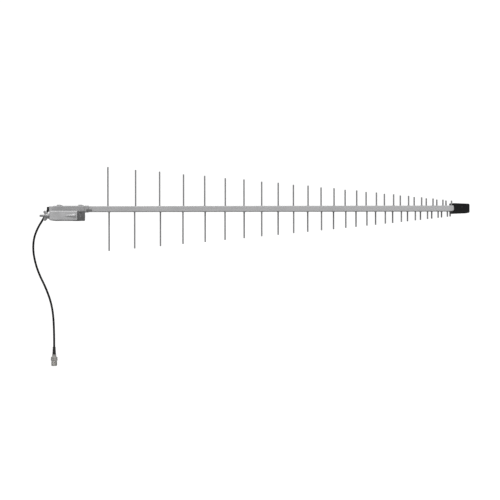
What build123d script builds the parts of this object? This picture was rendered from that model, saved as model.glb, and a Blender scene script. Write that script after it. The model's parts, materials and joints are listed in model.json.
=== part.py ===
from build123d import *
import math
import os

# Log-periodic directional antenna on a two-jaw mast clamp, in millimetres.
# The origin is on the mast's axis at the clamp's mid-height. +X runs along the booms to the
# front of the antenna, +Z is up the mast, and the booms pass the mast on its +Y side.

# ---- driving dimensions -------------------------------------------------------------------
MAST_R = 21.0                     # nominal 42 mm mast
FIT = 0.05                        # radial running clearance
TOUCH = 0.02                      # radial clearance of a pressed or swaged piece

TUBE = 15.0                       # square boom tube, outside
WALL = 1.5                        # boom tube wall
BOOM_GAP = 8.0                    # clear gap between the two booms
NEAR_Y = 52.0                     # middle of the boom nearer the clamp
FAR_Y = NEAR_Y + TUBE + BOOM_GAP
BOOM_Z = 20.0                     # middle of both booms
BOOM_REAR = -47.5
NEAR_FRONT = 1043.0               # the near boom stops short of the feed strap
FAR_FRONT = 1046.5                # the far boom carries the feed strap

DIPOLES = 29
ROD_D = 4.0
APEX_X = 1161.5                   # where the dipoles' spacing runs down to nothing
REACH = 1056.0                    # longest dipole to the apex
SPACING_RATIO = 0.9332
LONGEST = 221.5                   # longest dipole, tip to tip
LENGTH_RATIO = 0.9418
SWAGE = 0.8                       # collar of a rod on the boom
ROD_INSIDE = WALL + 0.3           # rod below the boom's face

BRACKET_REAR = -33.0
BRACKET_FRONT = 39.0
CHEEK_OUT = 38.3                  # outer face of the bracket's cheeks, from the mast's axis
PLATE = 3.0
CLAMP_H = 24.0
JAW_OUT = 35.0                    # outer face of the sliding jaw's cheeks
JAW_PLATE = 2.5
JAW_REAR = 20.0
JAW_WEB = 42.0
JAW_FRONT = 58.5                  # front of the cheek that stands clear of the booms
JAW_FAR_FRONT = 47.0              # front of the other cheek
SEAT_W = 36.0
SEAT_H = 20.0
SEAT_R = MAST_R + FIT

BOLT_Y = 27.0                     # each side of the mast
BOLT_R = 3.0                      # M6
BOLT_TIP = -59.5
NUT_FACE = BRACKET_REAR - 1.6     # the wing nuts bear on 1.6 mm washers
NUT_END = -46.0

PIVOT_X = 25.0                    # tilt pivot, at the clamp's mid-height
PIVOT_R = 3.0
LOCK_RADIUS = 14.0                # lock stud from the pivot
LOCK_ANGLE = 198.2                # its direction from the pivot, degrees from +X towards +Z
LOCK_R = 2.0
TILT = 15.0                       # tilt each way, degrees
DISC = 1.0                        # friction disc between bracket and lug
LUG = 4.0
LUG_Y = CHEEK_OUT + DISC

SADDLE_REAR = -37.0
SADDLE_FRONT = 48.0
COLLAR_REAR = 45.5
COLLAR_FRONT = 55.0               # the collar stands round the near boom alone
SADDLE_WALL = 1.0                 # above and below the booms
LUG_REAR = 9.0
SLIP = 0.1                        # saddle's square windows round the booms

CAP_REAR = 1014.5
CAP_FRONT = 1055.4
PRONG_REAR = 1008.3
CAP_H_REAR = 27.8
CAP_H_FRONT = 24.0
CAP_WALL = 2.0

CABLE_R = 2.75
CABLE_EXIT = (-55.0, NEAR_Y, 12.5)
JACK_TOP = -343.5                 # the hanging lead ends in its jack here
JACK_X = -37.0

# the hanging lead's route, from the elbow down to the jack
ROUTE = [
    CABLE_EXIT,
    (-66, 52, -7.5),
    (-81, 52, -31.5),
    (-91.5, 53, -60.5),
    (-92.5, 54, -98),
    (-80.5, 55, -145),
    (-57.5, 55, -191),
    (-42, 54, -237),
    (JACK_X, 53, -290.5),
    (JACK_X, 53, JACK_TOP),
]

os.makedirs("parts", exist_ok=True)


def save(piece, node):
    """Label a finished piece and write it under its own name."""
    piece.label = node
    export_step(piece, f"parts/{node}.step")


def dipole_x(number):
    return APEX_X - REACH * SPACING_RATIO ** (number - 1)


def dipole_half(number):
    return LONGEST / 2 * LENGTH_RATIO ** (number - 1)


def near_side(number):
    """The half on the near boom points up (+1) for odd dipoles and down (-1) for even ones."""
    return 1 if number % 2 else -1


# ---- booms --------------------------------------------------------------------------------
def make_boom(middle_y, front, turn):
    """A square tube with a hole for each rod. turn is 1 on the near boom and -1 on the far one."""
    up = [(dipole_x(n), middle_y) for n in range(1, DIPOLES + 1) if near_side(n) * turn > 0]
    down = [(dipole_x(n), middle_y) for n in range(1, DIPOLES + 1) if near_side(n) * turn < 0]
    with BuildPart() as boom:
        with BuildSketch(Plane.YZ.offset(BOOM_REAR)):
            with Locations((middle_y, BOOM_Z)):
                RectangleRounded(TUBE, TUBE, 1.5)
                RectangleRounded(TUBE - 2 * WALL, TUBE - 2 * WALL, 0.6, mode=Mode.SUBTRACT)
        extrude(amount=front - BOOM_REAR)
        for points, side in ((up, 1), (down, -1)):
            with BuildSketch(Plane.XY.offset(BOOM_Z)):
                with Locations(*points):
                    Circle(ROD_D / 2 + TOUCH)
            extrude(amount=side * TUBE, mode=Mode.SUBTRACT)
    return boom.part


save(make_boom(NEAR_Y, NEAR_FRONT, 1), "near_boom")
save(make_boom(FAR_Y, FAR_FRONT, -1), "far_boom")


# ---- dipoles ------------------------------------------------------------------------------
def make_dipole(number):
    """Two round half rods, one on each boom, pointing opposite ways, with swaged collars."""
    x = dipole_x(number)
    with BuildPart() as rods:
        for middle_y, side in ((NEAR_Y, near_side(number)), (FAR_Y, -near_side(number))):
            face = BOOM_Z + side * TUBE / 2
            with BuildSketch(Plane.XY.offset(face - side * ROD_INSIDE)):
                with Locations((x, middle_y)):
                    Circle(ROD_D / 2)
            extrude(amount=side * (dipole_half(number) - TUBE / 2 + ROD_INSIDE))
            with BuildSketch(Plane.XY.offset(face)):
                with Locations((x, middle_y)):
                    Circle(ROD_D / 2 + 1.2)
            extrude(amount=side * SWAGE)
        tips = rods.edges().filter_by(GeomType.CIRCLE).sort_by(Axis.Z)
        chamfer([tips[0], tips[-1]], 0.5)
    return rods.part


for number in range(1, DIPOLES + 1):
    save(make_dipole(number), f"dipole_{number:02d}")


# ---- what closes the booms' rear ends, and the lead's elbow -------------------------------
END_FLANGE = 1.2
END_PLUG = 7.5                    # how far the plug reaches into the tube
END_REAR = BOOM_REAR - END_FLANGE
NECK_R = 3.5
NECK_FRONT = -42.0
ELBOW_LENGTH = 6.4

with BuildPart() as end_caps:
    with BuildSketch(Plane.YZ.offset(END_REAR)):
        with Locations((NEAR_Y, BOOM_Z), (FAR_Y, BOOM_Z)):
            RectangleRounded(TUBE - 0.4, TUBE - 0.4, 2.0)
    extrude(amount=END_FLANGE)
    fillet(end_caps.faces().sort_by(Axis.X)[0].edges() + end_caps.faces().sort_by(Axis.X)[1].edges(), 0.6)
    with BuildSketch(Plane.YZ.offset(BOOM_REAR)):
        with Locations((NEAR_Y, BOOM_Z), (FAR_Y, BOOM_Z)):
            RectangleRounded(TUBE - 2 * WALL - 2 * TOUCH, TUBE - 2 * WALL - 2 * TOUCH, 0.6)
    extrude(amount=END_PLUG)
    with BuildSketch(Plane.YZ.offset(END_REAR)):
        with Locations((NEAR_Y, BOOM_Z)):
            Circle(NECK_R + TOUCH)
    extrude(amount=END_FLANGE + END_PLUG, mode=Mode.SUBTRACT)
save(end_caps.part, "boom_end_caps")

exit_point = Vector(*CABLE_EXIT)
exit_way = (Vector(*ROUTE[1]) - exit_point).normalized()
exit_plane = Plane(origin=exit_point, x_dir=(0, 1, 0), z_dir=exit_way)

with BuildPart() as elbow:
    with BuildSketch(Plane.YZ.offset(NECK_FRONT)):
        with Locations((NEAR_Y, BOOM_Z)):
            Circle(NECK_R)
    extrude(amount=END_REAR - 1 - NECK_FRONT)
    with BuildSketch(Plane.YZ.offset(END_REAR)):
        with Locations((NEAR_Y, BOOM_Z)):
            RectangleRounded(11, 11.6, 1.6)
    extrude(amount=-ELBOW_LENGTH)
    fillet(elbow.faces().sort_by(Axis.X)[0].edges(), 1.2)
    with BuildSketch(exit_plane):
        Circle(CABLE_R + 1.1)
    extrude(amount=-6)
save(elbow.part, "cable_elbow")


# ---- feed, inside the booms and the front cap ---------------------------------------------
CORE_R = 0.7
STRAP = 1.0
PLUG_LENGTH = 10.0
PLUG = TUBE - 2 * WALL - 2 * TOUCH

with BuildPart() as feed_cable:
    with BuildSketch(Plane.YZ.offset(NECK_FRONT)):
        with Locations((NEAR_Y, BOOM_Z)):
            Circle(CABLE_R)
    extrude(amount=NEAR_FRONT + 0.5 - NECK_FRONT)
    with BuildSketch(Plane.YZ.offset(NEAR_FRONT)):
        with Locations((NEAR_Y, BOOM_Z)):
            Circle(CORE_R)
    extrude(amount=FAR_FRONT + STRAP + 0.6 - NEAR_FRONT)
save(feed_cable.part, "feed_cable")

with BuildPart() as front_plugs:
    for middle_y, front, bore in ((NEAR_Y, NEAR_FRONT, CABLE_R + TOUCH), (FAR_Y, FAR_FRONT, 1.5)):
        with BuildSketch(Plane.YZ.offset(front - PLUG_LENGTH)):
            with Locations((middle_y, BOOM_Z)):
                RectangleRounded(PLUG, PLUG, 0.6)
                Circle(bore, mode=Mode.SUBTRACT)
        extrude(amount=PLUG_LENGTH)
save(front_plugs.part, "boom_front_plugs")

with BuildPart() as feed_strap:
    with BuildSketch(Plane.YZ.offset(FAR_FRONT)):
        with Locations(((NEAR_Y + FAR_Y) / 2, BOOM_Z)):
            SlotOverall(FAR_Y - NEAR_Y + 8, 8)
        with Locations((NEAR_Y, BOOM_Z)):
            Circle(CORE_R + TOUCH, mode=Mode.SUBTRACT)
        with Locations((FAR_Y, BOOM_Z)):
            Circle(1.5, mode=Mode.SUBTRACT)
    extrude(amount=STRAP)
save(feed_strap.part, "feed_strap")

with BuildPart() as feed_screw:
    with BuildSketch(Plane.YZ.offset(FAR_FRONT + STRAP)):
        with Locations((FAR_Y, BOOM_Z)):
            Circle(2.8)
    extrude(amount=1.8)
    chamfer(feed_screw.edges().filter_by(GeomType.CIRCLE).sort_by(Axis.X)[-1], 0.5)
    with BuildSketch(Plane.YZ.offset(FAR_FRONT + STRAP)):
        with Locations((FAR_Y, BOOM_Z)):
            Circle(1.5 - TOUCH)
    extrude(amount=-8)
save(feed_screw.part, "feed_screw")


# ---- front cap ----------------------------------------------------------------------------
CAP_NEAR = NEAR_Y - TUBE / 2 - 0.3 - CAP_WALL
CAP_FAR = FAR_Y + TUBE / 2 + 0.3 + CAP_WALL
CAP_MID = (CAP_NEAR + CAP_FAR) / 2
WINDOW = TUBE + 0.6               # cavity round the booms
NOTCH_R = 9.0                     # rounded notch between the prongs
SCREW_X = 1034.5


def cap_half_height(x):
    along = (x - PRONG_REAR) / (CAP_FRONT - PRONG_REAR)
    return (CAP_H_REAR + (CAP_H_FRONT - CAP_H_REAR) * along) / 2


with BuildPart() as front_cap:
    with BuildSketch(Plane.XZ.offset(-CAP_NEAR)):
        with BuildLine():
            Polyline(
                (PRONG_REAR, BOOM_Z - cap_half_height(PRONG_REAR)),
                (CAP_FRONT, BOOM_Z - cap_half_height(CAP_FRONT)),
                (CAP_FRONT, BOOM_Z + cap_half_height(CAP_FRONT)),
                (PRONG_REAR, BOOM_Z + cap_half_height(PRONG_REAR)),
                close=True,
            )
        make_face()
    extrude(amount=-(CAP_FAR - CAP_NEAR))
    nose = front_cap.faces().sort_by(Axis.X)[-1]
    fillet(nose.edges(), 4.5)
    fillet(front_cap.edges().filter_by(Axis.X, tolerance=5), 1.5)
    with BuildSketch(Plane.YZ.offset(PRONG_REAR)):
        with Locations((CAP_MID, BOOM_Z)):
            Rectangle(CAP_FAR - CAP_NEAR - 2 * CAP_WALL, WINDOW)
    extrude(amount=CAP_FRONT - CAP_WALL - PRONG_REAR, mode=Mode.SUBTRACT)
    with BuildSketch(Plane.XZ.offset(-CAP_NEAR + 1)):
        with Locations((CAP_REAR - NOTCH_R, BOOM_Z)):
            Circle(NOTCH_R)
        with Locations((CAP_REAR - NOTCH_R - 10, BOOM_Z)):
            Rectangle(20, 2 * NOTCH_R)
    extrude(amount=-(CAP_FAR - CAP_NEAR + 2), mode=Mode.SUBTRACT)
    # room for the shortest dipole's rods, open to the side that each one stands on
    last_x = dipole_x(DIPOLES)
    for edge_y, inner_y, side in ((CAP_NEAR, NEAR_Y + 4, 1), (CAP_FAR, FAR_Y - 4, -1)):
        with BuildSketch(Plane.XY.offset(BOOM_Z)):
            with Locations((last_x, (edge_y + inner_y) / 2)):
                Rectangle(9, abs(inner_y - edge_y) + 2)
        extrude(amount=side * CAP_H_REAR, mode=Mode.SUBTRACT)
    # a shallow panel and the screw holes on each side
    for face_y, outward in ((CAP_NEAR, 1), (CAP_FAR, -1)):
        with BuildSketch(Plane.XZ.offset(-face_y)):
            with Locations((SCREW_X, BOOM_Z)):
                RectangleRounded(24, 15, 3)
        extrude(amount=-outward * 0.6, mode=Mode.SUBTRACT)
    with BuildSketch(Plane.XZ.offset(-CAP_NEAR + 1)):
        with Locations((SCREW_X, BOOM_Z + 3.6)):
            Circle(1.5)
    extrude(amount=-(CAP_FAR - CAP_NEAR + 2), mode=Mode.SUBTRACT)
save(front_cap.part, "front_cap")

with BuildPart() as cap_screws:
    for face_y, inward in ((CAP_NEAR + 0.6, 1), (CAP_FAR - 0.6, -1)):
        with BuildSketch(Plane.XZ.offset(-face_y)):
            with Locations((SCREW_X, BOOM_Z + 3.6)):
                Circle(2.7)
        extrude(amount=inward * 1.2)
        with BuildSketch(Plane.XZ.offset(-face_y)):
            with Locations((SCREW_X, BOOM_Z + 3.6)):
                Circle(1.5 - TOUCH)
        extrude(amount=-inward * (CAP_WALL - 0.6 + 0.3))
save(cap_screws.part, "cap_screws")


# ---- spacers that hold the two booms apart ------------------------------------------------
with BuildPart() as spacers:
    for middle_x in (dipole_x(9) + 20, dipole_x(17) + 11):
        with BuildSketch(Plane.XZ.offset(-(NEAR_Y + TUBE / 2))):
            with Locations((middle_x, BOOM_Z)):
                RectangleRounded(16, 12, 2)
        extrude(amount=-BOOM_GAP)
save(spacers.part, "boom_spacers")


# ---- saddle that holds both booms and tilts on the bracket --------------------------------
SADDLE_NEAR = NEAR_Y - TUBE / 2 - 0.2 - PLATE
SADDLE_FAR = FAR_Y + TUBE / 2 + 0.2 + PLATE
SADDLE_MID = (SADDLE_NEAR + SADDLE_FAR) / 2
SADDLE_H = TUBE + 2 * SADDLE_WALL
GROOVE_X = 43.5
GROOVE_DEPTH = 1.0
SADDLE_SCREW_R = 3.0
PAD_X = (50.4, 64.4)
PAD_Z = (13.0, 18.8)
COLLAR_NEAR = SADDLE_NEAR - 0.5
COLLAR_FAR = NEAR_Y + TUBE / 2 + 2.6
TOP_SCREWS = [(x, y) for x in (-24.0, 32.5) for y in (NEAR_Y, FAR_Y)]


def lock_point(angle=0.0):
    turn = math.radians(LOCK_ANGLE + angle)
    return PIVOT_X + LOCK_RADIUS * math.cos(turn), LOCK_RADIUS * math.sin(turn)


with BuildPart() as saddle:
    with BuildSketch(Plane.YZ.offset(SADDLE_REAR)):
        with Locations((SADDLE_MID, BOOM_Z)):
            RectangleRounded(SADDLE_FAR - SADDLE_NEAR, SADDLE_H, 2.2)
    extrude(amount=SADDLE_FRONT - SADDLE_REAR)
    with BuildSketch(Plane.YZ.offset(GROOVE_X)):
        with Locations((SADDLE_MID, BOOM_Z)):
            Rectangle(2 * SADDLE_FAR, 2 * SADDLE_H)
            RectangleRounded(SADDLE_FAR - SADDLE_NEAR - 2 * GROOVE_DEPTH, SADDLE_H - GROOVE_DEPTH, 1.4,
                             mode=Mode.SUBTRACT)
    extrude(amount=COLLAR_REAR - GROOVE_X, mode=Mode.SUBTRACT)
    with BuildSketch(Plane.YZ.offset(COLLAR_REAR)):
        with Locations(((COLLAR_NEAR + COLLAR_FAR) / 2, BOOM_Z)):
            RectangleRounded(COLLAR_FAR - COLLAR_NEAR, SADDLE_H + 0.8, 2.4)
    extrude(amount=COLLAR_FRONT - COLLAR_REAR)
    chamfer(saddle.faces().sort_by(Axis.X)[-1].edges(), 0.6)
    # lug with the pivot hole and the arc slot that limits the tilt
    with BuildSketch(Plane.XZ.offset(-LUG_Y)):
        with BuildLine():
            Polyline(
                (LUG_REAR, -8),
                (LUG_REAR + 4, -12),
                (PIVOT_X + 6, -12),
                (PIVOT_X + 11, -7),
                (PIVOT_X + 11, BOOM_Z),
                (LUG_REAR, BOOM_Z),
                close=True,
            )
        make_face()
        with Locations((LUG_REAR, -2)):
            Rectangle(5, 14)
    extrude(amount=-LUG)
    with BuildSketch(Plane.YZ.offset(SADDLE_REAR - 5)):
        with Locations((NEAR_Y, BOOM_Z), (FAR_Y, BOOM_Z)):
            RectangleRounded(TUBE + 2 * SLIP, TUBE + 2 * SLIP, 1.5)
    extrude(amount=COLLAR_FRONT - SADDLE_REAR + 10, mode=Mode.SUBTRACT)
    with BuildSketch(Plane.XZ.offset(-LUG_Y + 1)):
        with Locations((PIVOT_X, 0)):
            Circle(PIVOT_R + FIT)
        with BuildLine():
            sweep_line = CenterArc((PIVOT_X, 0), LOCK_RADIUS, LOCK_ANGLE - TILT, 2 * TILT)
        SlotArc(sweep_line, 2 * (LOCK_R + 0.2))
    extrude(amount=-(LUG + 1.5), mode=Mode.SUBTRACT)
    with BuildSketch(Plane.XY.offset(BOOM_Z + TUBE / 2)):
        with Locations(*TOP_SCREWS):
            Circle(SADDLE_SCREW_R + TOUCH)
    extrude(amount=SADDLE_WALL + 2, mode=Mode.SUBTRACT)
    # window in the collar for the pad under the booms' near face
    with BuildSketch(Plane.XZ.offset(-COLLAR_NEAR + 1)):
        with Locations(((PAD_X[0] + COLLAR_FRONT) / 2 + 1, sum(PAD_Z) / 2)):
            Rectangle(COLLAR_FRONT - PAD_X[0] + 2.2, PAD_Z[1] - PAD_Z[0] + 0.2)
    extrude(amount=-(NEAR_Y - TUBE / 2 - COLLAR_NEAR + 1), mode=Mode.SUBTRACT)
save(saddle.part, "boom_saddle")

with BuildPart() as saddle_screws:
    for x, y in TOP_SCREWS:
        top = BOOM_Z + SADDLE_H / 2
        with BuildSketch(Plane.XY.offset(top)):
            with Locations((x, y)):
                Circle(6.4)
        extrude(amount=1.0)
        with BuildSketch(Plane.XY.offset(top + 1.0)):
            with Locations((x, y)):
                RegularPolygon(4.8, 6, major_radius=False)
        extrude(amount=1.8)
        with BuildSketch(Plane.XY.offset(top)):
            with Locations((x, y)):
                Circle(SADDLE_SCREW_R)
        extrude(amount=-(SADDLE_WALL - SLIP))
save(saddle_screws.part, "saddle_screws")

with BuildPart() as pads:
    for face_y, outer_y in ((NEAR_Y - TUBE / 2, COLLAR_NEAR - 0.5), (FAR_Y + TUBE / 2, SADDLE_FAR)):
        with BuildSketch(Plane.XZ.offset(-face_y)):
            with Locations((sum(PAD_X) / 2, sum(PAD_Z) / 2)):
                RectangleRounded(PAD_X[1] - PAD_X[0], PAD_Z[1] - PAD_Z[0], 1.6)
        extrude(amount=face_y - outer_y)
save(pads.part, "boom_pads")


# ---- mast bracket, the fixed half of the clamp --------------------------------------------
BEAD_START = 8.0
BEAD_END = 37.0
BEAD_SMALL = 1.2
BEAD_LARGE = 4.4
PEG_R = 3.0

bracket_length = BRACKET_FRONT - BRACKET_REAR
bracket_mid = (BRACKET_FRONT + BRACKET_REAR) / 2

with BuildPart() as bracket:
    with BuildSketch(Plane.XY.offset(-CLAMP_H / 2)):
        with Locations((bracket_mid, 0)):
            Rectangle(bracket_length, 2 * CHEEK_OUT)
    extrude(amount=CLAMP_H)
    fillet(bracket.edges().filter_by(Axis.Z).sort_by(Axis.X)[:2], 4.0)
    rims = bracket.faces().sort_by(Axis.Z)
    fillet(rims[0].edges() + rims[-1].edges(), 2.0)
    # a pressed bead stiffens the cheek that stands clear of the booms
    with BuildSketch(Plane.XY):
        with BuildLine():
            Polyline(
                (BEAD_START, -CHEEK_OUT),
                (BEAD_START + 1, -CHEEK_OUT - BEAD_SMALL),
                (BEAD_END - 2, -CHEEK_OUT - BEAD_LARGE),
                (BEAD_END, -CHEEK_OUT),
                close=True,
            )
        make_face()
    revolve(axis=Axis((0, -CHEEK_OUT, 0), (1, 0, 0)), revolution_arc=360)
    with BuildSketch(Plane.XY.offset(-CLAMP_H)):
        with Locations((bracket_mid + PLATE / 2 + 5, 0)):
            Rectangle(bracket_length - PLATE + 10, 2 * (CHEEK_OUT - PLATE))
    extrude(amount=2 * CLAMP_H, mode=Mode.SUBTRACT)
    with BuildSketch(Plane.YZ.offset(BRACKET_REAR - 1)):
        with Locations((-BOLT_Y, 0), (BOLT_Y, 0)):
            Circle(BOLT_R + 0.2)
        with Locations((0, 0)):
            Circle(PEG_R + TOUCH)
    extrude(amount=PLATE + 2, mode=Mode.SUBTRACT)
    with BuildSketch(Plane.XZ.offset(-CHEEK_OUT - 1)):
        with Locations((PIVOT_X, 0)):
            Circle(4 + TOUCH)
        with Locations(lock_point()):
            Circle(3 + TOUCH)
    extrude(amount=PLATE + 2, mode=Mode.SUBTRACT)
save(bracket.part, "mast_bracket")


def make_seat(back_x, plate_x):
    """A ribbed block with a round hollow for the mast, pegged through the plate behind it."""
    toward_mast = -1 if back_x > 0 else 1
    edge_x = -toward_mast * (SEAT_R ** 2 - (SEAT_W / 2) ** 2) ** 0.5
    with BuildPart() as seat:
        with BuildSketch(Plane.XY.offset(-SEAT_H / 2)):
            with Locations(((back_x + edge_x) / 2, 0)):
                Rectangle(abs(back_x - edge_x), SEAT_W)
            Circle(SEAT_R, mode=Mode.SUBTRACT)
        extrude(amount=SEAT_H)
        for groove_y in (-12, -4, 4, 12):
            with BuildSketch(Plane.XY.offset(-SEAT_H / 2)):
                with Locations((-toward_mast * (SEAT_R ** 2 - groove_y ** 2) ** 0.5, groove_y)):
                    Circle(0.8)
            extrude(amount=SEAT_H, mode=Mode.SUBTRACT)
        with BuildSketch(Plane.YZ.offset(back_x)):
            Circle(PEG_R)
        extrude(amount=plate_x - back_x)
    return seat.part


save(make_seat(BRACKET_REAR + PLATE, BRACKET_REAR), "bracket_seat")
save(make_seat(JAW_WEB, JAW_WEB + PLATE), "jaw_seat")


# ---- sliding jaw, the moving half of the clamp --------------------------------------------
DENT = ((41.3, 8.5), (47.3, -4.2), (53.3, 8.5))
DENT_DEPTH = 1.2
DENT_SLOPE = 2.0                  # how far the sides of the recess slope inwards

with BuildPart() as jaw:
    with BuildSketch(Plane.XY.offset(-CLAMP_H / 2)):
        with Locations(((JAW_REAR + JAW_FRONT) / 2, 0)):
            Rectangle(JAW_FRONT - JAW_REAR, 2 * JAW_OUT)
    extrude(amount=CLAMP_H)
    rims = jaw.faces().sort_by(Axis.Z)
    fillet(rims[0].edges().filter_by(Axis.X) + rims[-1].edges().filter_by(Axis.X), 1.5)
    inner = JAW_OUT - JAW_PLATE
    with BuildSketch(Plane.XY.offset(-CLAMP_H)):
        with Locations(((JAW_REAR - 5 + JAW_WEB) / 2, 0)):
            Rectangle(JAW_WEB - JAW_REAR + 5, 2 * inner)
        with Locations(((JAW_WEB + PLATE + JAW_FRONT + 5) / 2, 0)):
            Rectangle(JAW_FRONT + 5 - JAW_WEB - PLATE, 2 * inner)
        with Locations(((JAW_FAR_FRONT + JAW_FRONT + 5) / 2, JAW_OUT)):
            Rectangle(JAW_FRONT + 5 - JAW_FAR_FRONT, 4 * JAW_PLATE)
    extrude(amount=2 * CLAMP_H, mode=Mode.SUBTRACT)
    with BuildSketch(Plane.YZ.offset(JAW_WEB - 1)):
        with Locations((-BOLT_Y, 0), (BOLT_Y, 0)):
            Circle(BOLT_R + TOUCH)
        with Locations((0, 0)):
            Circle(PEG_R + TOUCH)
    extrude(amount=PLATE + 2, mode=Mode.SUBTRACT)
    # a pressed triangular recess in the outside of the near cheek, with sloping sides
    for inset in (0, DENT_SLOPE):
        with BuildSketch(Plane.XZ.offset(JAW_OUT - (DENT_DEPTH if inset else 0))):
            with BuildLine():
                Polyline(*DENT, close=True)
            make_face()
            if inset:
                offset(amount=-inset, mode=Mode.REPLACE)
    loft(mode=Mode.SUBTRACT)
save(jaw.part, "sliding_jaw")

HEX = 10.0                        # across the flats of an M6 head or nut
HEAD = 3.8

with BuildPart() as bolts:
    for bolt_y in (-BOLT_Y, BOLT_Y):
        with BuildSketch(Plane.YZ.offset(JAW_WEB + PLATE)):
            with Locations((bolt_y, 0)):
                RegularPolygon(HEX / 2, 6, major_radius=False, rotation=30)
        extrude(amount=HEAD)
        with BuildSketch(Plane.YZ.offset(JAW_WEB + PLATE)):
            with Locations((bolt_y, 0)):
                Circle(BOLT_R)
        extrude(amount=BOLT_TIP - JAW_WEB - PLATE)
    chamfer(bolts.edges().filter_by(GeomType.CIRCLE).sort_by(Axis.X)[:2], 0.8)
save(bolts.part, "jaw_bolts")

with BuildPart() as washers:
    with BuildSketch(Plane.YZ.offset(NUT_FACE)):
        with Locations((-BOLT_Y, 0), (BOLT_Y, 0)):
            Circle(6.2)
            Circle(BOLT_R + 0.2, mode=Mode.SUBTRACT)
    extrude(amount=BRACKET_REAR - NUT_FACE)
save(washers.part, "jaw_washers")


# ---- wing nuts ----------------------------------------------------------------------------
HUB_R = 5.6
WING_TIP_X = -45.6
WING_TIP_Z = 9.3
WING_TIP_R = 4.2
WING_T = 2.6
FAR_NUT_TURN = 60                 # degrees, the two nuts are seldom tightened to the same angle


def make_wing_nut(nut_y, turn):
    """A tapered hub with two wings that lean back from its bearing face, turned on its bolt."""
    lean = math.radians(turn)
    wings = Plane(origin=(0, nut_y, 0), x_dir=(1, 0, 0), z_dir=(0, -math.cos(lean), -math.sin(lean)))
    with BuildPart() as nut:
        with BuildSketch(Plane.XY):
            with BuildLine():
                Polyline(
                    (NUT_FACE, nut_y),
                    (NUT_FACE, nut_y + HUB_R),
                    (NUT_FACE - 4, nut_y + HUB_R),
                    (NUT_END, nut_y + HUB_R - 1.2),
                    (NUT_END, nut_y),
                    close=True,
                )
            make_face()
        revolve(axis=Axis((0, nut_y, 0), (1, 0, 0)), revolution_arc=360)
        for side in (-1, 1):
            with BuildSketch(wings):
                with BuildLine():
                    Line((NUT_FACE - 2, side * 3), (NUT_END + 1, side * 3))
                    CenterArc((WING_TIP_X, side * WING_TIP_Z), WING_TIP_R, 0, 360)
                make_hull()
            extrude(amount=WING_T / 2, both=True)
        with BuildSketch(Plane.YZ.offset(NUT_END - 6)):
            with Locations((nut_y, 0)):
                Circle(BOLT_R + FIT)
        extrude(amount=NUT_FACE - NUT_END + 12, mode=Mode.SUBTRACT)
    return nut.part


save(make_wing_nut(-BOLT_Y, 0), "wing_nut_near")
save(make_wing_nut(BOLT_Y, FAR_NUT_TURN), "wing_nut_far")


# ---- tilt pivot and lock: clinched studs, friction disc, washers, nuts --------------------
WASHER_Y = LUG_Y + LUG
PIVOT_WASHER = 1.6
LOCK_WASHER = 1.0

with BuildPart() as studs:
    for point, head_r, shank_r, tip_y in (
        ((PIVOT_X, 0), 4.0, PIVOT_R, 51.0),
        (lock_point(), 3.0, LOCK_R, 48.5),
    ):
        with BuildSketch(Plane.XZ.offset(-(CHEEK_OUT - PLATE))):
            with Locations(point):
                Circle(head_r)
        extrude(amount=-PLATE)
        with BuildSketch(Plane.XZ.offset(-CHEEK_OUT)):
            with Locations(point):
                Circle(shank_r)
        extrude(amount=-(tip_y - CHEEK_OUT))
save(studs.part, "tilt_studs")

with BuildPart() as disc:
    with BuildSketch(Plane.XZ.offset(-CHEEK_OUT)):
        with Locations((PIVOT_X, 0)):
            Circle(11)
            Circle(PIVOT_R + FIT, mode=Mode.SUBTRACT)
    extrude(amount=-DISC)
save(disc.part, "friction_disc")

with BuildPart() as tilt_washers:
    for point, outer, bore, thick in (
        ((PIVOT_X, 0), 6.0, PIVOT_R + 0.2, PIVOT_WASHER),
        (lock_point(), 4.5, LOCK_R + 0.2, LOCK_WASHER),
    ):
        with BuildSketch(Plane.XZ.offset(-WASHER_Y)):
            with Locations(point):
                Circle(outer)
                Circle(bore, mode=Mode.SUBTRACT)
        extrude(amount=-thick)
save(tilt_washers.part, "tilt_washers")

with BuildPart() as tilt_nuts:
    for point, flats, bore, base_y, thick in (
        ((PIVOT_X, 0), HEX, PIVOT_R + TOUCH, WASHER_Y + PIVOT_WASHER, 5.5),
        (lock_point(), 7.0, LOCK_R + TOUCH, WASHER_Y + LOCK_WASHER, 3.2),
    ):
        with BuildSketch(Plane.XZ.offset(-base_y)):
            with Locations(point):
                RegularPolygon(flats / 2, 6, major_radius=False)
                Circle(bore, mode=Mode.SUBTRACT)
        extrude(amount=-thick)
save(tilt_nuts.part, "tilt_nuts")


# ---- hanging lead and its jack ------------------------------------------------------------
def corner_radii(route):
    """Each corner's arc is as large as its two straight runs allow."""
    radii = []
    for before, corner, after in zip(route, route[1:], route[2:]):
        run_in = Vector(*corner) - Vector(*before)
        run_out = Vector(*after) - Vector(*corner)
        turn = math.radians(run_in.get_angle(run_out))
        radii.append(0.45 * min(run_in.length, run_out.length) / math.tan(turn / 2))
    return radii


lead_radii = corner_radii(ROUTE)
print("lead radii", [round(radius) for radius in lead_radii])

with BuildPart() as lead:
    with BuildLine() as lead_line:
        FilletPolyline(*ROUTE, radius=lead_radii)
    with BuildSketch(exit_plane):
        Circle(CABLE_R)
    sweep(path=lead_line.wires()[0])
lead_length = lead_line.wires()[0].length
print("lead length", round(lead_length, 1))
print("lead volume against section times length",
      round(lead.part.volume / (math.pi * CABLE_R ** 2 * lead_length), 4))
save(lead.part, "hanging_lead")

JACK_Y = ROUTE[-1][1]
BOOT_END = JACK_TOP - 20
BODY_END = BOOT_END - 30
THREAD_R = 7.9
SOCKET_R = 4.2
SOCKET_END = BODY_END + 10


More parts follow.
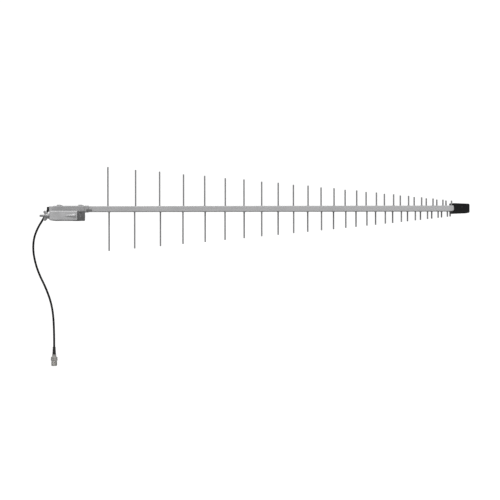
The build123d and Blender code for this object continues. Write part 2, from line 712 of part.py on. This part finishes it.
def turned(profile):
    """A round piece about the jack's axis, from its (radius, height) corners."""
    with BuildPart() as piece:
        with BuildSketch(Plane.XZ.offset(-JACK_Y)):
            with BuildLine():
                Polyline(*[(JACK_X + radius, z) for radius, z in profile], close=True)
            make_face()
        revolve(axis=Axis((JACK_X, JACK_Y, 0), (0, 0, 1)), revolution_arc=360)
    return piece.part


save(turned([(0, JACK_TOP), (CABLE_R + 0.9, JACK_TOP), (4.8, BOOT_END), (0, BOOT_END)]), "jack_boot")

HEX_TOP = BOOT_END - 6
HEX_END = HEX_TOP - 6
FLANGE_END = HEX_END - 4
THREAD_TOP = FLANGE_END - 2
BORE_TOP = SOCKET_END + 8
MOUTH_TOP = BODY_END + 4

shell = turned([
    (0, BOOT_END), (5.6, BOOT_END), (5.6, HEX_END), (9.0, HEX_END), (9.0, FLANGE_END),
    (7.2, FLANGE_END), (7.2, THREAD_TOP), (THREAD_R, THREAD_TOP), (THREAD_R, BODY_END + 0.6),
    (THREAD_R - 0.6, BODY_END), (6.6, BODY_END), (6.6, MOUTH_TOP), (SOCKET_R, MOUTH_TOP),
    (SOCKET_R, BORE_TOP), (0, BORE_TOP),
])
with BuildPart() as jack_body:
    add(shell)
    with BuildSketch(Plane.XY.offset(HEX_END)):
        with Locations((JACK_X, JACK_Y)):
            RegularPolygon(8, 6, major_radius=False)
    extrude(amount=HEX_TOP - HEX_END)
save(jack_body.part, "jack_body")

save(turned([
    (1.5 + TOUCH, BORE_TOP), (SOCKET_R - TOUCH, BORE_TOP),
    (SOCKET_R - TOUCH, SOCKET_END), (1.5 + TOUCH, SOCKET_END),
]), "jack_insulator")

save(turned([
    (0, BORE_TOP), (1.5, BORE_TOP), (1.5, BODY_END + 2), (0.8, BODY_END + 2),
    (0.8, BODY_END + 7), (0, BODY_END + 7),
]), "jack_contact")
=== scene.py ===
import json
import math

import bmesh
import bpy
from mathutils import Matrix, Vector


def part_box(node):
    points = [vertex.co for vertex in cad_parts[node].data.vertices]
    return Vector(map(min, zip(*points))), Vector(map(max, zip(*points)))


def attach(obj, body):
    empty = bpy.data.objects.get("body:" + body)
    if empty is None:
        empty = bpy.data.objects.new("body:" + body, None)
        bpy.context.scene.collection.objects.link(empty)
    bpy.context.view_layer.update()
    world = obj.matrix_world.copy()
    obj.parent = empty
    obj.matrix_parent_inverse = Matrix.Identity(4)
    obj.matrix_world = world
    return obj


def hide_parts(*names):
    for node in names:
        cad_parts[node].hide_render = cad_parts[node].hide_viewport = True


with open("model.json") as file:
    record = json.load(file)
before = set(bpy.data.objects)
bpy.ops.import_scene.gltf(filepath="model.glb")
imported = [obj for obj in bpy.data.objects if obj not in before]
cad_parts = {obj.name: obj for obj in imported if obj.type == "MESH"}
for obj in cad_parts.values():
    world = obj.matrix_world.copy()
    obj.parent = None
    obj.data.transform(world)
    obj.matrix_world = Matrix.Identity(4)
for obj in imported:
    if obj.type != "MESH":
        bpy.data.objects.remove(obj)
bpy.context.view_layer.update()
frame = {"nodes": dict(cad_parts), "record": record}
nodes = frame["nodes"]
MM = 0.001

# ---- camera -------------------------------------------------------------------------------
# Level with the lower part of the lead and square to the booms, about three metres away.
CAMERA_AT = Vector((0.5114, -2.926, -0.0886))
CAMERA_YAW = math.radians(0.61)
CAMERA_ROLL = math.radians(0.07)
FOCAL = 81.5

camera_data = bpy.data.cameras.new("camera")
camera_data.sensor_width = 36.0
camera_data.lens = FOCAL
camera_data.clip_start = 0.1
camera_data.clip_end = 50.0
camera = bpy.data.objects.new("camera", camera_data)
bpy.context.scene.collection.objects.link(camera)
turn = Matrix.Rotation(CAMERA_YAW, 4, "Z") @ Matrix.Rotation(math.radians(90), 4, "X")
camera.matrix_world = Matrix.Translation(CAMERA_AT) @ turn @ Matrix.Rotation(-CAMERA_ROLL, 4, "Z")
bpy.context.scene.camera = camera
bpy.context.scene.view_settings.view_transform = "Standard"


# ---- small helpers ------------------------------------------------------------------------
def add_object(name, data):
    piece = bpy.data.objects.new(name, data)
    bpy.context.scene.collection.objects.link(piece)
    return piece


def smooth(mesh, angle=35):
    """Smooth shading with hard edges where faces meet at more than angle degrees."""
    for polygon in mesh.polygons:
        polygon.use_smooth = True
    mesh.set_sharp_from_angle(angle=math.radians(angle))


# ---- materials ----------------------------------------------------------------------------
def finish_material(name, colour, metallic, roughness, grain, contrast, relief, edge=0.0,
                    edge_colour=None, rough_spread=0.08, blotch=14.0, specular=0.5,
                    rounding=0.35):
    """A surface with a stretched fine grain, slow blotches in tone and gloss, and lighter edges:
    part wear, part painted highlight.

    grain is the noise's scale along X, Y and Z, per metre. relief is the bump's height in
    metres. rounding is the radius, in millimetres, that edges are shaded with.
    """
    material = bpy.data.materials.new(name)
    material.use_nodes = True
    tree = material.node_tree
    link = tree.links.new
    shader = tree.nodes["Principled BSDF"]
    shader.inputs["Metallic"].default_value = metallic
    shader.inputs["Specular IOR Level"].default_value = specular

    place = tree.nodes.new("ShaderNodeTexCoord")
    stretch = tree.nodes.new("ShaderNodeMapping")
    stretch.inputs["Scale"].default_value = grain
    link(place.outputs["Object"], stretch.inputs["Vector"])
    fine = tree.nodes.new("ShaderNodeTexNoise")
    fine.inputs["Scale"].default_value = 1.0
    fine.inputs["Detail"].default_value = 5.0
    fine.inputs["Roughness"].default_value = 0.62
    link(stretch.outputs["Vector"], fine.inputs["Vector"])
    slow = tree.nodes.new("ShaderNodeTexNoise")
    slow.inputs["Scale"].default_value = blotch
    slow.inputs["Detail"].default_value = 3.0
    link(place.outputs["Object"], slow.inputs["Vector"])

    both = tree.nodes.new("ShaderNodeMath")
    both.operation = "ADD"
    link(fine.outputs["Fac"], both.inputs[0])
    link(slow.outputs["Fac"], both.inputs[1])
    tone = tree.nodes.new("ShaderNodeMapRange")
    tone.inputs["From Min"].default_value = 0.7
    tone.inputs["From Max"].default_value = 1.3
    link(both.outputs[0], tone.inputs["Value"])
    tint = tree.nodes.new("ShaderNodeMix")
    tint.data_type = "RGBA"
    tint.inputs["A"].default_value = (*[c * (1 - contrast) for c in colour], 1)
    tint.inputs["B"].default_value = (*[min(1.0, c * (1 + contrast)) for c in colour], 1)
    link(tone.outputs["Result"], tint.inputs["Factor"])
    colour_out = tint.outputs["Result"]

    rounded = tree.nodes.new("ShaderNodeBevel")
    rounded.samples = 4
    rounded.inputs["Radius"].default_value = rounding * MM
    # Lighter edges, part wear and part a painted highlight along every edge.
    if edge > 0:
        surface = tree.nodes.new("ShaderNodeNewGeometry")
        facing = tree.nodes.new("ShaderNodeVectorMath")
        facing.operation = "DOT_PRODUCT"
        link(rounded.outputs["Normal"], facing.inputs[0])
        link(surface.outputs["Normal"], facing.inputs[1])
        edge_wear_and_highlight = tree.nodes.new("ShaderNodeMapRange")
        edge_wear_and_highlight.inputs["From Min"].default_value = 0.995
        edge_wear_and_highlight.inputs["From Max"].default_value = 0.90
        edge_wear_and_highlight.inputs["To Max"].default_value = edge
        link(facing.outputs["Value"], edge_wear_and_highlight.inputs["Value"])
        edge_wear_and_highlight_mix = tree.nodes.new("ShaderNodeMix")
        edge_wear_and_highlight_mix.data_type = "RGBA"
        edge_wear_and_highlight_mix.inputs["B"].default_value = (*edge_colour, 1)
        link(edge_wear_and_highlight.outputs["Result"], edge_wear_and_highlight_mix.inputs["Factor"])
        link(colour_out, edge_wear_and_highlight_mix.inputs["A"])
        colour_out = edge_wear_and_highlight_mix.outputs["Result"]
    link(colour_out, shader.inputs["Base Color"])

    gloss = tree.nodes.new("ShaderNodeMapRange")
    gloss.inputs["From Min"].default_value = 0.3
    gloss.inputs["From Max"].default_value = 0.7
    gloss.inputs["To Min"].default_value = roughness - rough_spread
    gloss.inputs["To Max"].default_value = roughness + rough_spread
    link(slow.outputs["Fac"], gloss.inputs["Value"])
    link(gloss.outputs["Result"], shader.inputs["Roughness"])

    bump = tree.nodes.new("ShaderNodeBump")
    bump.inputs["Strength"].default_value = 0.6
    bump.inputs["Distance"].default_value = relief
    link(fine.outputs["Fac"], bump.inputs["Height"])
    link(rounded.outputs["Normal"], bump.inputs["Normal"])
    link(bump.outputs["Normal"], shader.inputs["Normal"])
    return material


boom_finish = finish_material(
    "boom_aluminium", (0.42, 0.42, 0.425), 0.3, 0.45, (25, 1500, 1500), 0.07, 0.00003,
    edge=0.4, edge_colour=(0.48, 0.48, 0.48), rounding=0.6)
# Painted shade: the rods are the booms' aluminium given a darker grey, standing in for the shade
# on their round sides.
rod_aluminium_shaded_dark = finish_material(
    "rod_aluminium", (0.24, 0.24, 0.243), 0.4, 0.40, (2200, 2200, 45), 0.08, 0.00002,
    edge=0.4, edge_colour=(0.5, 0.5, 0.5))
cast_finish = finish_material(
    "saddle_cast", (0.34, 0.34, 0.345), 0.3, 0.55, (900, 900, 900), 0.10, 0.00006,
    edge=0.6, edge_colour=(0.5, 0.5, 0.5), rounding=0.6)
bracket_finish = finish_material(
    "bracket_steel", (0.43, 0.43, 0.435), 0.35, 0.48, (60, 700, 1200), 0.10, 0.00003,
    edge=0.5, edge_colour=(0.55, 0.55, 0.55), rounding=0.5, blotch=45)
# Painted shade: the jaw is given a much darker grey than the bracket's steel, standing in for the
# shade it sits in between the cheeks.
jaw_steel_shaded_dark = finish_material(
    "jaw_steel", (0.115, 0.115, 0.117), 0.3, 0.5, (500, 500, 500), 0.2, 0.00005,
    edge=0.9, edge_colour=(0.35, 0.35, 0.35), rounding=0.5, blotch=60, specular=0.3)
steel_finish = finish_material(
    "fastener_steel", (0.30, 0.30, 0.302), 0.6, 0.36, (700, 700, 700), 0.12, 0.00002,
    edge=0.6, edge_colour=(0.6, 0.6, 0.6), blotch=120)
black_plastic = finish_material(
    "black_plastic", (0.006, 0.006, 0.0063), 0.0, 0.5, (1500, 1500, 1500), 0.3, 0.00004,
    edge=0.5, edge_colour=(0.04, 0.04, 0.04), rounding=0.6, specular=0.14)
grey_plastic = finish_material(
    "grey_plastic", (0.36, 0.36, 0.36), 0.0, 0.45, (1200, 1200, 1200), 0.05, 0.00003,
    rounding=0.4, specular=0.3)
jacket = finish_material(
    "cable_jacket", (0.007, 0.007, 0.0075), 0.0, 0.5, (500, 500, 500), 0.3, 0.00002,
    rough_spread=0.1, blotch=40, specular=0.15)
rubber = finish_material(
    "black_rubber", (0.016, 0.016, 0.016), 0.0, 0.7, (900, 900, 900), 0.25, 0.00005, specular=0.3)
grey_rubber = finish_material(
    "grey_rubber", (0.14, 0.14, 0.14), 0.0, 0.6, (900, 900, 900), 0.2, 0.00005, specular=0.3)
fibre = finish_material(
    "fibre", (0.12, 0.07, 0.045), 0.0, 0.7, (900, 900, 900), 0.25, 0.00004)
brass = finish_material(
    "brass", (0.62, 0.44, 0.18), 1.0, 0.3, (600, 600, 600), 0.12, 0.00002)
nickel = finish_material(
    "nickel", (0.50, 0.49, 0.47), 1.0, 0.26, (500, 500, 500), 0.08, 0.00001,
    edge=0.4, edge_colour=(0.8, 0.78, 0.75))
ptfe = finish_material(
    "ptfe", (0.82, 0.82, 0.80), 0.0, 0.4, (500, 500, 500), 0.04, 0.00001)
screw_black = finish_material(
    "screw_black", (0.012, 0.012, 0.012), 0.0, 0.5, (600, 600, 600), 0.2, 0.00002, specular=0.2)
washer_finish = finish_material(
    "washer_steel", (0.16, 0.16, 0.162), 0.4, 0.45, (700, 700, 700), 0.15, 0.00002,
    edge=0.5, edge_colour=(0.35, 0.35, 0.35), blotch=120)
elbow_finish = finish_material(
    "elbow_plastic", (0.004, 0.004, 0.0042), 0.0, 0.6, (1500, 1500, 1500), 0.3, 0.00004,
    specular=0.1)

FINISHES = {
    "boom_aluminium": boom_finish,
    "rod_aluminium": rod_aluminium_shaded_dark,
    "saddle_cast": cast_finish,
    "bracket_steel": bracket_finish,
    "jaw_steel": jaw_steel_shaded_dark,
    "fastener_steel": steel_finish,
    "black_plastic": black_plastic,
    "grey_plastic": grey_plastic,
    "cable_jacket": jacket,
    "black_rubber": rubber,
    "grey_rubber": grey_rubber,
    "fibre": fibre,
    "brass": brass,
    "nickel": nickel,
    "ptfe": ptfe,
    "screw_black": screw_black,
}

NODE_FINISHES = {"jaw_washers": washer_finish}      # plain washers, darker in colour and rougher than the bolts

for subpart in frame["record"]["subparts"]:
    cad_object = nodes[subpart["node"]]
    for material_slot in cad_object.material_slots:
        material_slot.link = "OBJECT"
        material_slot.material = NODE_FINISHES.get(
            subpart["node"], FINISHES[subpart["material_slot"]])


# ---- the lead's route and the booms' height, in millimetres, as the CAD has them ------------
CABLE_D = 5.5 * MM
ROUTE = [
    (-55, 52, 12.5),
    (-66, 52, -7.5),
    (-81, 52, -31.5),
    (-91.5, 53, -60.5),
    (-92.5, 54, -98),
    (-80.5, 55, -145),
    (-57.5, 55, -191),
    (-42, 54, -237),
    (-37, 53, -290.5),
    (-37, 53, -343.5),
]
BOOM_Z = 20.0


# ---- mesh building ------------------------------------------------------------------------
def frame_along(origin, direction, side=(0, 0, 1)):
    """A matrix whose local Z points along direction, with local X near side."""
    along = Vector(direction).normalized()
    across = (Vector(side) - along * along.dot(Vector(side))).normalized()
    third = along.cross(across)
    turned = Matrix((across, third, along)).transposed().to_4x4()
    return Matrix.Translation(Vector(origin)) @ turned


def add_grid(target, rows, matrix, cap_start=True, cap_end=True):
    """Join closed rings of (x, y, z) points, in millimetres, into a tube of faces."""
    loops = [[target.verts.new(matrix @ (Vector(point) * MM)) for point in ring] for ring in rows]
    for ring, following in zip(loops, loops[1:]):
        for i in range(len(ring)):
            j = (i + 1) % len(ring)
            target.faces.new([ring[i], ring[j], following[j], following[i]])
    if cap_start:
        target.faces.new(loops[0][::-1])
    if cap_end:
        target.faces.new(loops[-1])


def round_rings(profile, segments=48):
    """Rings about local Z from (radius, height) pairs."""
    rings = []
    for radius, height in profile:
        ring = []
        for i in range(segments):
            angle = math.tau * i / segments
            ring.append((radius * math.cos(angle), radius * math.sin(angle), height))
        rings.append(ring)
    return rings


def hex_rings(flats, low, high, both_ends=False, segments=72):
    """Rings of a hexagon whose corners are turned down to a cone, as on a real head or nut."""
    flat_r = flats / 2
    crown = flat_r * 0.96
    slope = math.tan(math.radians(30))
    outline = []
    for i in range(segments):
        angle = math.tau * i / segments
        from_flat = (angle + math.radians(30)) % math.radians(60) - math.radians(30)
        outline.append((angle, flat_r / math.cos(from_flat)))
    top_edge = [(r * math.cos(a), r * math.sin(a), high - (r - crown) * slope) for a, r in outline]
    top_crown = [(crown * math.cos(a), crown * math.sin(a), high) for a, r in outline]
    if both_ends:
        bottom = [
            [(crown * math.cos(a), crown * math.sin(a), low) for a, r in outline],
            [(r * math.cos(a), r * math.sin(a), low + (r - crown) * slope) for a, r in outline],
        ]
    else:
        bottom = [[(r * math.cos(a), r * math.sin(a), low) for a, r in outline]]
    return bottom + [top_edge, top_crown]


def thread_rings(crest, depth, pitch, low, high, segments=40, steps=8, lead_out=1.2):
    """Rings of a helical thread from low to high, running out to the root at both ends."""
    rings = []
    count = int(round((high - low) / pitch * steps))
    for row in range(count + 1):
        height = low + (high - low) * row / count
        ends = min(height - low, high - height) / lead_out
        ring = []
        for i in range(segments):
            angle = math.tau * i / segments
            phase = (height / pitch - angle / math.tau) % 1.0
            ridge = max(0.0, min(1.0, 1.6 - abs(phase - 0.5) * 4.2)) * min(1.0, ends)
            radius = crest - depth * (1 - ridge)
            ring.append((radius * math.cos(angle), radius * math.sin(angle), height))
        rings.append(ring)
    return rings


def make_piece(name, slot, body, build, replaced, angle=32):
    """A finished mesh piece: build fills a bmesh, then it rides, and replaces its CAD node."""
    work = bmesh.new()
    build(work)
    bmesh.ops.recalc_face_normals(work, faces=work.faces)
    mesh = bpy.data.meshes.new(name)
    work.to_mesh(mesh)
    work.free()
    smooth(mesh, angle)
    mesh.materials.append(FINISHES[slot])
    piece = add_object(name, mesh)
    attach(piece, body)
    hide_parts(replaced)
    return piece


def node_box(name):
    """A node's lowest and highest corners, in millimetres."""
    low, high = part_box(name)
    return [value / MM for value in low], [value / MM for value in high]


# ---- clamp bolts, with rolled threads -----------------------------------------------------
BOLT_R = 3.0
BOLT_PITCH = 1.0
BOLT_ROOT_R = 2.5
THREADED = 36.0                   # length of the thread at the bolt's end
HEX_FLATS = 10.0
HEAD = 3.8


def build_bolts(work):
    """Both M6 bolts, lying along X with their heads in front of the jaw."""
    low, high = node_box("jaw_bolts")
    head_seat = high[0] - HEAD
    bolt_y = (high[1] - low[1]) / 2 - HEX_FLATS / 2
    length = head_seat - low[0]
    plain = length - THREADED
    for y in (-bolt_y, bolt_y):
        place = frame_along((head_seat * MM, y * MM, 0), (-1, 0, 0))
        back = frame_along((head_seat * MM, y * MM, 0), (1, 0, 0))
        add_grid(work, hex_rings(HEX_FLATS, 0, HEAD), back)
        shank = round_rings([(BOLT_R, 0), (BOLT_R, plain - 0.6), (BOLT_ROOT_R, plain)], 40)
        thread = thread_rings(BOLT_R, 0.55, BOLT_PITCH, plain, length - 0.8)
        tip = round_rings([(1.9, length)], 40)
        add_grid(work, shank + thread + tip, place)


# ---- wing nuts, cast, with blended roots --------------------------------------------------
HUB_LENGTH = 11.4
HUB_R = 5.6
WING_REACH = 13.5                 # from the nut's axis to a wing's tip
WING_END = 4.3                    # from the middle of a wing's round end to its edge
WING_ROOT = (5.6, 3.6)            # behind the bearing face, and out from the axis
WING_STEPS = 14
WING_SIDES = 28
NUT_TURNS = {"near": 0, "far": 60}       # degrees, as the CAD nuts are turned


def wing_sections(root, tip):
    """Middles, half widths and half thicknesses of a wing's sections, from root to rounded end."""
    sections = []
    for step in range(WING_STEPS):
        along = step / WING_STEPS
        wide = 3.4 + 0.9 * math.sin(math.pi * 0.5 * along)
        sections.append((root.lerp(tip, along), wide, 1.9 - 0.65 * along))
    sections.append((tip, 3.9, 1.15))
    way = (tip - root).normalized()
    for extra, shrink in ((1.6, 0.93), (2.9, 0.74), (3.8, 0.45), (4.2, 0.16)):
        sections.append((tip + way * extra, 4.2 * shrink, 1.2 * shrink ** 0.5))
    return sections


def squared(value, power):
    """A sine or cosine pushed outwards, which makes a circle into a rounded box."""
    return math.copysign(abs(value) ** power, value)


def build_wing_nut(side):
    """A builder for one cast nut: a tapered hub with a bore, and two wings that lean back."""
    def build(work):
        low, high = node_box(f"wing_nut_{side}")
        nut_y = (low[1] + high[1]) / 2
        face_x = high[0]
        bore = BOLT_R + 0.05
        place = frame_along((face_x * MM, nut_y * MM, 0), (-1, 0, 0))
        hub = round_rings([
            (bore + 0.5, 0), (HUB_R - 0.3, 0), (HUB_R, 0.4), (HUB_R, 3.6), (HUB_R - 0.5, 6.5),
            (HUB_R - 1.0, 9.5), (HUB_R - 1.6, 11.0), (HUB_R - 2.1, HUB_LENGTH),
            (bore, HUB_LENGTH), (bore, 0.5)], 48)
        add_grid(work, hub + hub[:1], place, cap_start=False, cap_end=False)

        bolt_line = Vector((0, nut_y * MM, 0))
        turn = Matrix.Rotation(math.radians(NUT_TURNS[side]), 4, "X")
        turned = Matrix.Translation(bolt_line) @ turn @ Matrix.Translation(-bolt_line)
        for wing in (-1, 1):
            root = Vector((face_x - WING_ROOT[0], nut_y, wing * WING_ROOT[1]))
            tip = Vector((low[0] + WING_END, nut_y, wing * (WING_REACH - WING_END)))
            way = (tip - root).normalized()
            across = Vector((way.z, 0, -way.x))
            loops = []
            for middle, wide, thick in wing_sections(root, tip):
                ring = []
                for i in range(WING_SIDES):
                    angle = math.tau * i / WING_SIDES
                    sideways = across * wide * squared(math.cos(angle), 0.8)
                    through = Vector((0, 1, 0)) * thick * squared(math.sin(angle), 0.7)
                    ring.append(tuple(middle + sideways + through))
                loops.append(ring)
            add_grid(work, loops, turned)
    return build


# ---- elbow, moulded on the lead, with strain-relief ribs ----------------------------------
BLOCK_HALF = (5.5, 5.8)           # half width and half height of the moulded block
BLOCK_LENGTH = 6.4
NECK_LENGTH = 6.7                 # from the neck's front end to the block
RIBS = 4


def build_elbow(work):
    """A neck in the boom's end cap, a rounded block, and a ribbed spout that the lead leaves."""
    low, high = node_box("cable_elbow")
    front = high[0]
    exit_at = Vector(ROUTE[0])
    way = (Vector(ROUTE[1]) - exit_at).normalized()
    neck = frame_along((front * MM, exit_at.y * MM, BOOM_Z * MM), (-1, 0, 0))
    add_grid(work, round_rings([(3.5, 0), (3.5, NECK_LENGTH + 0.7)], 40), neck)
    middle = high[2] - BLOCK_HALF[1]
    block_front = front - NECK_LENGTH
    block_rear = block_front - BLOCK_LENGTH
    rings = []
    for x, inset in ((block_front, 0.5), (block_front - 0.5, 0.0), (block_rear + 1.6, 0.0),
                     (block_rear + 0.6, 0.35), (block_rear + 0.15, 0.9), (block_rear, 1.7)):
        ring = []
        for i in range(40):
            angle = math.tau * i / 40
            corner = abs(math.cos(angle)) ** 5 + abs(math.sin(angle)) ** 5
            radius = (1 / corner) ** 0.2
            ring.append((x, exit_at.y + (BLOCK_HALF[0] - inset) * radius * math.cos(angle),
                         middle + (BLOCK_HALF[1] - inset) * radius * math.sin(angle)))
        rings.append(ring)
    add_grid(work, rings, Matrix.Identity(4))
    spout = frame_along(exit_at * MM, way, (0, 1, 0))
    profile = [(3.0, -6.5), (3.6, -6.2)]
    for rib in range(RIBS):
        start = -5.4 + rib * 1.4
        outer = 3.85 - 0.12 * rib
        profile += [(outer - 0.55, start), (outer - 0.1, start + 0.15), (outer, start + 0.45),
                    (outer - 0.1, start + 0.75), (outer - 0.55, start + 0.9)]
    profile += [(3.2, 0.1), (CABLE_D / MM / 2 + 0.05, 0.3)]
    add_grid(work, round_rings(profile, 40), spout)


# ---- nuts and screws ----------------------------------------------------------------------
PIVOT = Vector((25.0, 0, 0))
PIVOT_NUT = 5.5
LOCK_RADIUS = 14.0
LOCK_ANGLE = math.radians(198.2)
LOCK_NUT = 3.2
SCREW_FLATS = 9.6
SCREW_HEAD = 2.8                  # flange and hexagon together
FLANGE_R = 6.4


def build_tilt_nuts(work):
    """The pivot's M6 nut and the lock's M4 nut, each open round its stud."""
    low, high = node_box("tilt_nuts")
    lock = PIVOT + Vector((math.cos(LOCK_ANGLE), 0, math.sin(LOCK_ANGLE))) * LOCK_RADIUS
    for at, flats, bore, base, thick in (
            (PIVOT, HEX_FLATS, 3.02, high[1] - PIVOT_NUT, PIVOT_NUT),
            (lock, 7.0, 2.02, low[1], LOCK_NUT)):
        place = frame_along((at.x * MM, base * MM, at.z * MM), (0, 1, 0), (1, 0, 0))
        rings = hex_rings(flats, 0, thick, both_ends=True)
        inside = round_rings([(bore + 0.5, thick), (bore, thick - 0.5),
                              (bore, 0.5), (bore + 0.5, 0)], 72)
        add_grid(work, rings + inside + rings[:1], place, cap_start=False, cap_end=False)


def build_saddle_screws(work):
    """Flanged hex screws on top of both booms."""
    low, high = node_box("saddle_screws")
    seat = high[2] - SCREW_HEAD
    xs = (low[0] + FLANGE_R, high[0] - FLANGE_R)
    ys = (low[1] + FLANGE_R, high[1] - FLANGE_R)
    for x in xs:
        for y in ys:
            place = frame_along((x * MM, y * MM, seat * MM), (0, 0, 1), (1, 0, 0))
            flange = round_rings([(3.0, low[2] - seat), (3.0, 0), (FLANGE_R - 0.1, 0),
                                  (FLANGE_R, 0.25), (FLANGE_R - 0.1, 0.5), (5.2, 1.0)], 72)
            head = hex_rings(SCREW_FLATS, 1.05, SCREW_HEAD)
            dimple = round_rings([(3.6, SCREW_HEAD), (3.4, 2.55), (0.2, 2.55)], 72)
            add_grid(work, flange + head + dimple, place)


# ---- jack: chamfered hex and a threaded shell ---------------------------------------------
THREAD_PITCH = 25.4 / 24          # 5/8-24 UNEF


def build_jack(work):
    """Collar, hexagon, flange, threaded shell and open mouth, downwards from the boot."""
    low, high = node_box("jack_body")
    x, y = (low[0] + high[0]) / 2, (low[1] + high[1]) / 2
    place = frame_along((x * MM, y * MM, high[2] * MM), (0, 0, -1), (1, 0, 0))
    collar = round_rings([(3.2, 0), (5.1, 0), (5.6, 0.5), (5.6, 5.9)], 72)
    nut = hex_rings(16.0, 6.0, 12.0, both_ends=True)
    seat = round_rings([(8.7, 12.0), (9.0, 12.3), (9.0, 15.7), (8.7, 16.0),
                        (7.2, 16.1), (7.2, 17.4)], 72)
    shell = thread_rings(7.9, 0.62, THREAD_PITCH, 17.5, 29.4, segments=72)
    mouth = round_rings([(7.1, 29.9), (6.9, 30.0), (6.6, 29.7), (6.6, 26.0), (4.2, 26.0),
                         (4.2, 12.0), (0.3, 12.0)], 72)
    add_grid(work, collar + nut + seat + shell + mouth, place)


make_piece("clamp_bolts", "fastener_steel", "jaw", build_bolts, "jaw_bolts")
for side in ("near", "far"):
    make_piece(f"{side}_wing_nut", "fastener_steel", f"{side}_nut",
               build_wing_nut(side), f"wing_nut_{side}", angle=40)
elbow = make_piece("moulded_elbow", "black_plastic", "antenna", build_elbow, "cable_elbow",
                   angle=40)
elbow.data.materials[0] = elbow_finish
make_piece("pivot_nuts", "fastener_steel", "mount", build_tilt_nuts, "tilt_nuts")
make_piece("saddle_top_screws", "fastener_steel", "antenna", build_saddle_screws, "saddle_screws")
jack = make_piece("threaded_jack", "nickel", "antenna", build_jack, "jack_body")


# ---- the hanging lead ---------------------------------------------------------------------
lead_curve = bpy.data.curves.new("lead", "CURVE")
lead_curve.dimensions = "3D"
line = lead_curve.splines.new("NURBS")
line.points.add(len(ROUTE) - 1)
for point, place in zip(line.points, ROUTE):
    point.co = (*[value * MM for value in place], 1)
line.order_u = 3
line.use_endpoint_u = True
line.resolution_u = 16
lead_curve.bevel_depth = CABLE_D / 2
lead_curve.bevel_resolution = 8
lead_curve.use_fill_caps = True
lead_curve.materials.append(jacket)
lead = add_object("lead", lead_curve)
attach(lead, "antenna")
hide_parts("hanging_lead")


# ---- floor, backdrop and light ------------------------------------------------------------
FLOOR_Z = -1.6
FLOOR_HALF = 14.0
CURVE_START = 3.0                 # where the floor starts to curve up, behind the object
CURVE_R = 2.5
CURVE_STEPS = 12
WALL_TOP = 9.0


def seen_or_lighting(tree, seen, lighting):
    """One strength where the camera looks at the surface, another where its light falls."""
    rays = tree.nodes.new("ShaderNodeLightPath")
    choose = tree.nodes.new("ShaderNodeMix")
    choose.data_type = "FLOAT"
    tree.links.new(rays.outputs["Is Camera Ray"], choose.inputs["Factor"])
    for socket, value in (("A", lighting), ("B", seen)):
        if isinstance(value, float):
            choose.inputs[socket].default_value = value
        else:
            tree.links.new(value, choose.inputs[socket])
    return choose.outputs["Result"]


def make_stage():
    """A pale floor that curves up into a backdrop, white where it is far from the object and
    darker near it, a painted shade round the object.
    """
    mesh = bpy.data.meshes.new("floor")
    profile = [(-FLOOR_HALF, 0.0), (CURVE_START, 0.0)]
    for step in range(1, CURVE_STEPS + 1):
        angle = math.radians(90) * step / CURVE_STEPS
        profile.append((CURVE_START + CURVE_R * math.sin(angle), CURVE_R * (1 - math.cos(angle))))
    profile.append((CURVE_START + CURVE_R, WALL_TOP))
    vertices = [(x, y, FLOOR_Z + z) for y, z in profile for x in (-FLOOR_HALF, FLOOR_HALF)]
    faces = [(2 * i, 2 * i + 1, 2 * i + 3, 2 * i + 2) for i in range(len(profile) - 1)]
    mesh.from_pydata(vertices, [], faces)
    smooth(mesh, 60)
    pale = bpy.data.materials.new("pale_floor")
    pale.use_nodes = True
    tree = pale.node_tree
    shader = tree.nodes["Principled BSDF"]
    shader.inputs["Base Color"].default_value = (0.12, 0.12, 0.12, 1)
    shader.inputs["Roughness"].default_value = 0.9
    shader.inputs["Specular IOR Level"].default_value = 0.0
    shader.inputs["Emission Color"].default_value = (1, 1, 1, 1)
    place = tree.nodes.new("ShaderNodeTexCoord")
    distance = tree.nodes.new("ShaderNodeVectorMath")
    distance.operation = "LENGTH"
    # Painted shade: as the camera sees it, the floor glows less near the object than far from it.
    floor_shade_near_object = tree.nodes.new("ShaderNodeMapRange")
    floor_shade_near_object.inputs["From Min"].default_value = 1.8
    floor_shade_near_object.inputs["From Max"].default_value = 3.6
    floor_shade_near_object.inputs["To Min"].default_value = 0.62
    floor_shade_near_object.inputs["To Max"].default_value = 0.97
    tree.links.new(place.outputs["Object"], distance.inputs[0])
    tree.links.new(distance.outputs["Value"], floor_shade_near_object.inputs["Value"])
    strength = seen_or_lighting(tree, floor_shade_near_object.outputs["Result"], 0.3)
    tree.links.new(strength, shader.inputs["Emission Strength"])
    mesh.materials.append(pale)
    floor = add_object("floor", mesh)


def add_light(name, at, aim, size, power):
    """A rectangular area light at one point, turned to face another."""
    data = bpy.data.lights.new(name, "AREA")
    data.shape = "RECTANGLE"
    data.size, data.size_y = size
    data.energy = power
    light = add_object(name, data)
    light.location = at
    light.rotation_euler = (Vector(aim) - Vector(at)).to_track_quat("-Z", "Y").to_euler()


def make_world():
    """White to look at, and a soft light that is strongest overhead."""
    world = bpy.data.worlds.new("studio")
    bpy.context.scene.world = world
    world.use_nodes = True
    tree = world.node_tree
    place = tree.nodes.new("ShaderNodeTexCoord")
    split = tree.nodes.new("ShaderNodeSeparateXYZ")
    tree.links.new(place.outputs["Generated"], split.inputs[0])
    sky = tree.nodes.new("ShaderNodeMapRange")
    sky.inputs["From Min"].default_value = -0.1
    sky.inputs["From Max"].default_value = 0.8
    sky.inputs["To Min"].default_value = 0.45
    sky.inputs["To Max"].default_value = 1.3
    tree.links.new(split.outputs["Z"], sky.inputs["Value"])
    background = tree.nodes["Background"]
    background.inputs["Color"].default_value = (1, 1, 1, 1)
    strength = seen_or_lighting(tree, 1.0, sky.outputs["Result"])
    tree.links.new(strength, background.inputs["Strength"])


make_stage()
make_world()
add_light("key", (-0.4, -1.7, 2.4), (0.5, 0, 0), (2.2, 1.2), 42)
add_light("fill", (1.8, -2.4, 0.4), (0.5, 0, 0), (1.6, 1.6), 8)

# ---- the end ------------------------------------------------------------------------------
bpy.context.view_layer.update()
